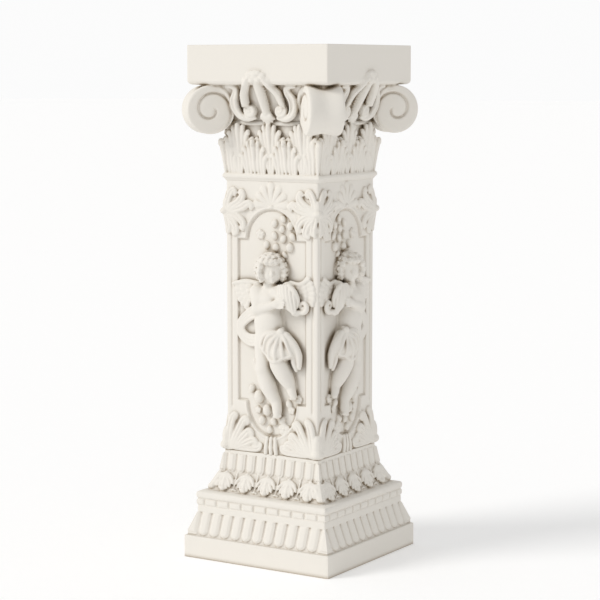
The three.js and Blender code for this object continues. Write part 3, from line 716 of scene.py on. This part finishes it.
def body(clay):
    """The putto's torso, arms and legs: a plump child, turned a little to the right."""
    clay.ball(on_shaft(-2, 5, 357), (22.5, 16.5, 26), 6)
    clay.ball(on_shaft(-5, 4, 389), (24, 14.5, 20), 8)
    clay.ball(on_shaft(0, 4, 334), (23.5, 15.5, 19), 8)
    clay.ball(on_shaft(-14, 11, 392), (10, 7, 8), 6)
    clay.ball(on_shaft(3, 12, 393), (10, 7, 8), 6)
    clay.ball(on_shaft(0, 22.5, 351), (1.6, 2.2, 1.4), 1.5, carve=True)
    clay.bone(on_shaft(-2, 4, 403), on_shaft(2, 6, 418), 10, 9, 4)
    # the leg that carries the weight, and the one that steps behind it
    clay.bone(on_shaft(-10.5, 5, 327), on_shaft(-9.5, 7, 290), 14.0, 11.0, 5)
    clay.ball(on_shaft(-10, 9.5, 287), (11, 9, 9), 5)
    clay.strand([on_shaft(-9, 6, 282), on_shaft(-1, 6, 262), on_shaft(10, 3, 240)], (11.5, 11.2, 7.2), 3)
    clay.strand([on_shaft(11, 3, 240), on_shaft(13, 5, 230), on_shaft(15, 8, 221)], (7.2, 6.6, 4.6), 2)
    for i in range(4):
        clay.ball(on_shaft(10 + 3.4 * i, 9.5 - 0.5 * i, 218.5 + 0.8 * i), (2.1, 2.4, 2.6), 0.6)
    clay.bone(on_shaft(11, 6, 327), on_shaft(19, 10, 299), 16, 13, 6)
    clay.strand([on_shaft(20, 9, 296), on_shaft(27, 6, 281), on_shaft(35, 2, 264)], (12.5, 11.0, 6.6), 4)
    clay.strand([on_shaft(35, 2, 264), on_shaft(38, 4, 257), on_shaft(42, 5, 250)], (6.4, 5.6, 4.0), 2)
    for i in range(3):
        clay.ball(on_shaft(38 + 3.2 * i, 6.5, 248 + 1.2 * i), (2.0, 2.2, 2.4), 0.6)
    # the arm across the chest, its hand on the horn, and the arm behind the horn
    clay.ball(on_shaft(-20, 7, 402), (11, 9.5, 10), 4)
    clay.bone(on_shaft(-20, 7, 402), on_shaft(-15, 14, 377), 9.8, 8.6, 4)
    clay.bone(on_shaft(-15, 14, 376), on_shaft(12, 18, 384), 8.6, 6.0, 3)
    clay.ball(on_shaft(20, 18.5, 386.5), (9.0, 5.2, 6.4), 2, lean=-10)
    for i in range(4):
        fingertip = on_shaft(36 - abs(1.5 * i - 2), 21, 394 - 3.8 * i)
        clay.bone(on_shaft(24, 19.5, 391 - 3.0 * i), fingertip, 2.4, 1.7, 0.6)
    clay.bone(on_shaft(13, 7, 404), on_shaft(28, 12, 392), 10, 7.5, 4)


def head(clay):
    """A calm, generic child's head under curls, turned to the right and a little down."""
    rows = ((8, 3), (27, 9), (46, 14), (65, 17), (84, 18), (103, 16), (121, 12))  # tilt, curls
    centre = np.array(on_shaft(4.5, 6.0, 434.5))
    turn = math.radians(33)
    ahead = np.array((math.sin(turn), math.cos(turn), -0.16))
    right = np.array((math.cos(turn), -math.sin(turn), 0.0))
    level = np.array((0.0, 0.14, 1.0))

    def at(across, out, up):
        return centre + across * right + out * ahead + up * level

    def around(tilt, spin, radius):
        tilt, spin = math.radians(tilt), math.radians(spin)
        return at(radius * math.sin(tilt) * math.sin(spin), radius * math.sin(tilt) * math.cos(spin),
                  radius * math.cos(tilt))

    clay.ball(centre, (18.0, 17.0, 19.0), 1.5)
    clay.ball(at(0, 5.6, -5.5), (13.2, 11.5, 12.6), 3)
    for side in (-1, 1):
        clay.ball(at(6.4 * side, 10.6, -6.0), (5.4, 5.0, 5.2), 3)
        clay.ball(at(5.6 * side, 17.9, 1.0), (3.5, 2.8, 2.3), 1.2, carve=True)
        clay.ball(at(5.5 * side, 14.4, 0.6), (2.8, 2.2, 1.8), 0.4)
    clay.strand([at(0, 16.2, 2.6), at(0, 17.2, -1.0), at(0, 18.2, -3.6)], (1.5, 1.7, 2.0), 1.6)
    clay.strand([at(-3.0, 15.4, -8.0), at(0, 16.8, -7.8), at(3.0, 15.4, -8.0)], (0.6, 1.2, 0.6), 0.9)
    clay.strand([at(-2.2, 15.2, -10.0), at(0, 16.4, -10.2), at(2.2, 15.2, -10.0)], (0.7, 1.3, 0.7), 0.9)
    clay.ball(at(0, 13.6, -13.2), (4.2, 3.6, 3.4), 2)
    clay.ball(at(-1.0, -4.6, 3.6), (23.0, 19.5, 21.5), 0.8)
    for row, (tilt, count) in enumerate(rows):
        for i in range(count):
            spin = 360 * (i + 0.5 * (row % 2)) / count
            ahead_of_ears = math.cos(math.radians(spin)) * math.sin(math.radians(tilt))
            if tilt > 58 and ahead_of_ears > 0.60:
                continue
            middle = around(tilt, spin, 22.6)
            if middle[1] < FIELD:
                continue
            outward = (middle - centre) / np.linalg.norm(middle - centre)
            aside = np.cross(outward, (0.31, 0.17, 0.94))
            aside = aside / np.linalg.norm(aside)
            over = np.cross(outward, aside)
            start = 2.4 * i + 1.7 * row
            curl = []
            for n in range(8):
                turned = math.cos(start + 0.75 * n) * aside + math.sin(start + 0.75 * n) * over
                curl.append(middle + 0.35 * n * outward + (3.3 - 0.22 * n) * turned)
            clay.ball(middle - 2.0 * outward, (4.6, 4.6, 4.6), 1.2)
            clay.strand(curl, (1.7, 2.1, 1.9, 1.5), 0.5, per_span=2)


def horn(clay):
    """A ribbed horn in the crook of the arm, its tail curling up to the right."""
    for n in range(-3, 4):
        bulge = 0.45 * n * n
        rib = [on_shaft(31 + 4.6 * n, 16 - bulge, 414 - 0.7 * bulge),
               on_shaft(34 + 4.6 * n, 18.5 - bulge, 400), on_shaft(38 + 3.6 * n, 17 - bulge, 385),
               on_shaft(44 + 1.6 * n, 13 - 0.6 * bulge, 376 - 1.4 * n), on_shaft(53, 8, 374)]
        clay.strand(rib, (2.5, 2.6, 2.3, 2.0, 1.8), 0.3)
    clay.strand([on_shaft(32, 5, 408), on_shaft(36, 6, 394), on_shaft(42, 4, 381)], (11, 11, 7), 0.8)
    turns = zip(np.linspace(-1.9, 5.6, 12), np.linspace(9.0, 1.4, 12))
    curl = [on_shaft(57 + r * math.cos(a), 5.0, 384 + r * math.sin(a)) for a, r in turns]
    clay.strand([on_shaft(46, 11, 375)] + curl, (4.4, 3.8, 3.2, 2.6, 2.0), 0.4, per_span=3)
    clay.strand([on_shaft(40, 15, 415), on_shaft(48, 13, 406), on_shaft(52, 10, 394), on_shaft(50, 9, 383)],
                (2.6, 3.6, 3.2, 2.2), 0.5)


def wing(clay, foot, leans, edge):
    """A short wing: three rows of round-ended feathers, the upper rows over the lower."""
    for row, (reach, count, out) in enumerate(((34, 6, 0.2), (23, 5, 1.8), (13, 3, 3.2))):
        for i in range(count):
            lean = math.radians(leans[0] + (leans[1] - leans[0]) * i / (count - 1))
            tip = np.array((foot[0] + reach * math.sin(lean), foot[1] + reach * math.cos(lean)))
            root = tip + 0.45 * (np.array(foot) - tip)
            clay.strand([(root[0], FIELD + 2.6 + out, root[1]), (tip[0], FIELD + 3.2 + out, tip[1])],
                        (3.6, 5.0 - 0.5 * row), 0.4, flat=0.6)
    clay.strand([on_shaft(u, 1.6, z) for u, z in edge], (3.6, 3.8, 2.6), 0.6)


def wings(clay):
    wing(clay, (-26, 407), (-84, -150), ((-22, 413), (-44, 415), (-66, 411)))
    wing(clay, (38, 401), (48, 112), ((34, 417), (50, 415), (66, 424)))


def drapery(clay):
    """A cloth knotted at the hip, its folds laid on it, and a scarf that loops to the left."""
    knot = np.array(on_shaft(26, 15, 347))
    clay.ball(knot, (5.5, 5, 5), 1.5)
    clay.bone(on_shaft(12, 6, 332), on_shaft(20, 9, 317), 18.0, 16.5, 2.5)
    clay.bone(on_shaft(5, 7, 322), on_shaft(33, 6, 317), 14.0, 12.5, 3)
    clay.strand([on_shaft(30, 8, 338), on_shaft(38, 7, 324), on_shaft(42, 5, 314)], (8, 9, 7), 2)
    hem = np.array([on_shaft(-6, 18, 327), on_shaft(-2, 20, 316), on_shaft(8, 24, 306),
                    on_shaft(21, 25, 303), on_shaft(33, 20, 307), on_shaft(43, 13, 313)])
    folds = []
    for n, end in enumerate(hem):
        middle = 0.5 * (knot + end) + (1.6 * n - 6.5, 2.0, 4.5 - 0.8 * n)
        folds.append(curve_through(np.array([knot, middle, end]), 4))
    folds.append(curve_through(hem, 2))
    facing = (1, -1, 1)  # the mesh's Y runs into the side, and out runs from it
    folds = [clay.settled(fold * facing, rounds=24) * facing for fold in folds]
    for fold in folds:
        clay.strand(fold, (2.0, 2.7, 2.5, 2.3), 1.2, per_span=2)
    clay.strand([on_shaft(32, 12, 343), on_shaft(43, 8, 329), on_shaft(50, 5, 312), on_shaft(51, 4, 294)],
                (4.4, 5.4, 5.6, 3.2), 1.0)
    clay.strand([on_shaft(36, 12, 336), on_shaft(42, 9, 318), on_shaft(43, 7, 302), on_shaft(46, 5, 290)],
                (3.0, 3.8, 4.0, 2.6), 0.6)
    for offset in (-8.4, -2.8, 2.8, 8.4):
        loop = [on_shaft(-20, 7, 374 + offset), on_shaft(-37, 1.5, 366 + 0.9 * offset),
                on_shaft(-52 - 0.5 * offset, -0.5, 353 + 0.4 * offset),
                on_shaft(-52 - 0.4 * offset, -0.5, 338 - 0.5 * offset),
                on_shaft(-38, 1.5, 329 - 0.8 * offset), on_shaft(-20, 7, 330 - 0.8 * offset)]
        clay.strand(loop, (2.7, 3.1, 2.8, 3.0, 2.8, 2.7), 0.3)


def model_shaft():
    clay = Clay((73.0, 115.0), (157.0, 567.0), SHAFT_CELL)
    shaft_face(clay)
    shell(clay)
    head_corner(clay)
    foot_corner(clay)
    fruit_and_flowers(clay)
    wings(clay)
    body(clay)
    drapery(clay)
    horn(clay)
    head(clay)
    return clay


# Meshes


def mesh_of(name, points, faces):
    mesh = bpy.data.meshes.new(name)
    mesh.vertices.add(len(points))
    mesh.vertices.foreach_set("co", np.ascontiguousarray(points, np.float32).ravel())
    corners = faces.shape[1]
    mesh.loops.add(faces.size)
    mesh.loops.foreach_set("vertex_index", faces.astype(np.int32).ravel())
    mesh.polygons.add(len(faces))
    mesh.polygons.foreach_set("loop_start", np.arange(0, faces.size, corners, dtype=np.int32))
    mesh.update(calc_edges=True)
    return mesh


def thinned(points, quads, triangles):
    """The skin with fewer triangles, kept fine where it curves. Points and triangles."""
    mesh = mesh_of("thinning", points, quads)
    sheet = bpy.data.objects.new("thinning", mesh)
    bpy.context.scene.collection.objects.link(sheet)
    decimate = sheet.modifiers.new("thin", "DECIMATE")
    decimate.ratio = min(1.0, triangles / (2 * len(quads)))
    decimate.use_collapse_triangulate = True
    done = sheet.evaluated_get(bpy.context.evaluated_depsgraph_get()).to_mesh()
    thin = np.empty(3 * len(done.vertices), np.float32)
    done.vertices.foreach_get("co", thin)
    loops = np.empty(len(done.loops), np.int32)
    done.loops.foreach_get("vertex_index", loops)
    bpy.data.objects.remove(sheet)
    bpy.data.meshes.remove(mesh)
    return thin.reshape(-1, 3), loops.reshape(-1, 3)


def on_mitre(points, faces):
    """Sets the points on the wedge's two cut edges exactly on the corners' diagonals."""
    edges = np.sort(np.concatenate([np.stack([faces[:, n - 1], faces[:, n]], axis=1)
                                    for n in range(faces.shape[1])]), axis=1)
    kinds, counts = np.unique(edges, axis=0, return_counts=True)
    rim = np.unique(kinds[counts == 1])
    out = -points[rim, 1]
    share = points[rim, 0] / out
    cut = np.abs(share) > MITRE
    rim, half = rim[cut], 0.5 * (np.abs(points[rim[cut], 0]) + out[cut])
    points[rim, 0] = np.sign(share[cut]) * half
    points[rim, 1] = -half
    return points


def keep_outer_skin(form):
    """Deletes the skins of bubbles that are closed in between the forms."""
    left = set(form.verts)
    skins = []
    for first in form.verts:
        if first not in left:
            continue
        left.discard(first)
        skin, front = [], [first]
        while front:
            vert = front.pop()
            skin.append(vert)
            for edge in vert.link_edges:
                other = edge.other_vert(vert)
                if other in left:
                    left.discard(other)
                    front.append(other)
        skins.append(skin)
    skins.sort(key=len)
    bmesh.ops.delete(form, geom=[v for skin in skins[:-1] for v in skin], context="VERTS")


def even_rolls(form):
    """Evens out the strip of each volute's tread where two wedges meet."""
    strip = []
    for vert in form.verts:
        x, y, up = abs(vert.co.x), abs(vert.co.y), vert.co.z / MM
        on_seam = abs(x - y) < SEAM_HALF * MM and min(x, y) > SEAM_INNER * MM
        if on_seam and abs(up - VOLUTE_UP) < VOLUTE_RADIUS - 2:
            strip.append(vert)
    for _ in range(SEAM_ROUNDS):
        bmesh.ops.smooth_vert(form, verts=strip, factor=0.5, use_axis_x=True, use_axis_y=True,
                              use_axis_z=True)


def piece_of(name, clay, levels):
    """The mesh of a zone: its wedge thinned, mirrored to all sides, welded and capped."""
    clay.soften()
    clay.trim(*levels)
    points, quads = clay.skin()
    points = on_mitre(clay.settled(points), quads)
    points, triangles = thinned(points, quads, PIECE_TRIANGLES / 4)
    points = on_mitre(points, triangles)
    x, y, z = points.T
    images = [(x, y, False), (-y, -x, True), (-x, -y, False), (y, x, True)]
    all_points = np.concatenate([np.stack([a, b, z], axis=1) for a, b, _ in images])
    all_triangles = np.concatenate([
        (triangles[:, ::-1] if flipped else triangles) + n * len(points)
        for n, (_, _, flipped) in enumerate(images)
    ])
    mesh = mesh_of(name, all_points * MM, all_triangles)
    form = bmesh.new()
    form.from_mesh(mesh)
    bmesh.ops.remove_doubles(form, verts=form.verts, dist=WELD * MM)
    bmesh.ops.dissolve_degenerate(form, edges=form.edges, dist=SLIVER * MM)
    keep_outer_skin(form)
    even_rolls(form)
    rims = [e for e in form.edges if e.is_boundary]
    caps = bmesh.ops.holes_fill(form, edges=rims, sides=0)["faces"]
    bmesh.ops.triangulate(form, faces=caps)
    bmesh.ops.recalc_face_normals(form, faces=form.faces)
    form.to_mesh(mesh)
    form.free()
    mesh.validate()
    mesh.shade_smooth()
    mesh.set_sharp_from_angle(angle=math.radians(SHARP))
    piece = bpy.data.objects.new(name, mesh)
    bpy.context.scene.collection.objects.link(piece)
    weigh = piece.modifiers.new("normals", "WEIGHTED_NORMAL")
    weigh.keep_sharp = True
    return piece


# Materials, floor, light and camera


def node(tree, kind, **values):
    made = tree.nodes.new(kind)
    for key, value in values.items():
        setattr(made, key, value)
    return made


def fill(made, values):
    for socket, value in values.items():
        made.inputs[socket].default_value = value


def cast_stone():
    """Matte warm white, with a beige patina wash and painted shade darkening the hollows, and a faint grain.
    """
    material = bpy.data.materials.new("cast_stone")
    material.use_nodes = True
    tree = material.node_tree
    link = tree.links.new
    shader = tree.nodes["Principled BSDF"]
    fill(shader, {"Roughness": ROUGHNESS, "Specular IOR Level": SPECULAR})
    # Painted shade: ambient occlusion darkens the base colour in the hollows and creases. It stands in for
    # the shade there as well as for a beige patina.
    open_air = node(tree, "ShaderNodeAmbientOcclusion", samples=PATINA_SHADE_SAMPLES)
    fill(open_air, {"Distance": PATINA_SHADE_REACH * MM})
    patina_and_shade = node(tree, "ShaderNodeValToRGB")
    for element, (position, colour) in zip(patina_and_shade.color_ramp.elements, (PATINA_SHADE_DEEP, PATINA_SHADE_NONE)):
        element.position, element.color = position, (*colour, 1)
    place = node(tree, "ShaderNodeTexCoord")
    patch = node(tree, "ShaderNodeTexNoise")
    fill(patch, {"Scale": PATCH_SCALE, "Detail": PATCH_DETAIL})
    uneven = node(tree, "ShaderNodeMath", operation="MULTIPLY_ADD")
    fill(uneven, {1: PATINA_SHADE_UNEVEN})
    link(place.outputs["Object"], patch.inputs["Vector"])
    link(patch.outputs["Fac"], uneven.inputs[0])
    link(open_air.outputs["AO"], uneven.inputs[2])
    link(uneven.outputs["Value"], patina_and_shade.inputs["Fac"])
    link(patina_and_shade.outputs["Color"], shader.inputs["Base Color"])
    grain = node(tree, "ShaderNodeTexNoise")
    fill(grain, {"Scale": GRAIN_SCALE, "Detail": GRAIN_DETAIL})
    bump = node(tree, "ShaderNodeBump")
    fill(bump, {"Strength": GRAIN_STRENGTH, "Distance": GRAIN_DEPTH * MM})
    link(place.outputs["Object"], grain.inputs["Vector"])
    link(grain.outputs["Fac"], bump.inputs["Height"])
    link(bump.outputs["Normal"], shader.inputs["Normal"])
    return material


def plain(name, colour, roughness, glow):
    material = bpy.data.materials.new(name)
    material.use_nodes = True
    fill(material.node_tree.nodes["Principled BSDF"], {
        "Base Color": (*colour, 1), "Roughness": roughness,
        "Emission Color": (1, 1, 1, 1), "Emission Strength": glow,
    })
    return material


def floor():
    bpy.ops.mesh.primitive_plane_add(size=FLOOR_SIDE)
    made = bpy.context.object
    made.name = "floor"
    made.data.materials.append(plain("floor", FLOOR_COLOUR, FLOOR_ROUGHNESS, FLOOR_GLOW))


def studio():
    """White surroundings, a broad soft sun from the front and left, and the picture left untoned."""
    world = bpy.data.worlds.new("studio")
    world.use_nodes = True
    tree = world.node_tree
    sky = tree.nodes["Background"]
    fill(sky, {"Color": (1, 1, 1, 1)})
    path = node(tree, "ShaderNodeLightPath")
    strength = node(tree, "ShaderNodeMapRange")
    fill(strength, {"To Min": AMBIENT, "To Max": BACKDROP})
    tree.links.new(path.outputs["Is Camera Ray"], strength.inputs["Value"])
    tree.links.new(strength.outputs["Result"], sky.inputs["Strength"])
    bpy.context.scene.world = world
    bpy.context.scene.view_settings.view_transform = "Standard"
    data = bpy.data.lights.new("sun", "SUN")
    data.energy, data.angle, data.color = SUN, math.radians(SUN_ANGLE), SUN_COLOUR
    lamp = bpy.data.objects.new("sun", data)
    lamp.rotation_euler = (-Vector(SUN_FROM)).to_track_quat("-Z", "Y").to_euler()
    bpy.context.scene.collection.objects.link(lamp)


def camera():
    """The photograph's view: from the front and the right, a little above, with a long lens."""
    turn, pitch = math.radians(CAMERA_TURN), math.radians(CAMERA_PITCH)
    back = Vector((math.sin(turn) * math.cos(pitch), -math.cos(turn) * math.cos(pitch), math.sin(pitch)))
    right = Vector((math.cos(turn), math.sin(turn), 0))
    target = Vector((0, 0, AIM_UP)) + right * AIM_ASIDE
    data = bpy.data.cameras.new("camera")
    data.sensor_width = SENSOR
    data.sensor_fit = "HORIZONTAL"
    data.lens = LENS
    data.clip_end = 50
    eye = bpy.data.objects.new("camera", data)
    eye.location = target + back * CAMERA_FAR
    eye.rotation_euler = (-back).to_track_quat("-Z", "Y").to_euler()
    bpy.context.scene.collection.objects.link(eye)
    bpy.context.scene.camera = eye


camera()
studio()
floor()
stone = cast_stone()
PIECES = (("pedestal_base", model_base, (0.0, 162.0)), ("pedestal_shaft", model_shaft, (160.0, 565.0)),
          ("pedestal_capital", model_capital, (562.0, HEIGHT)))
for name, model, levels in PIECES:
    piece = piece_of(name, model(), levels)
    piece.data.materials.append(stone)
    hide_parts("column_pedestal")
    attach(piece, "root")
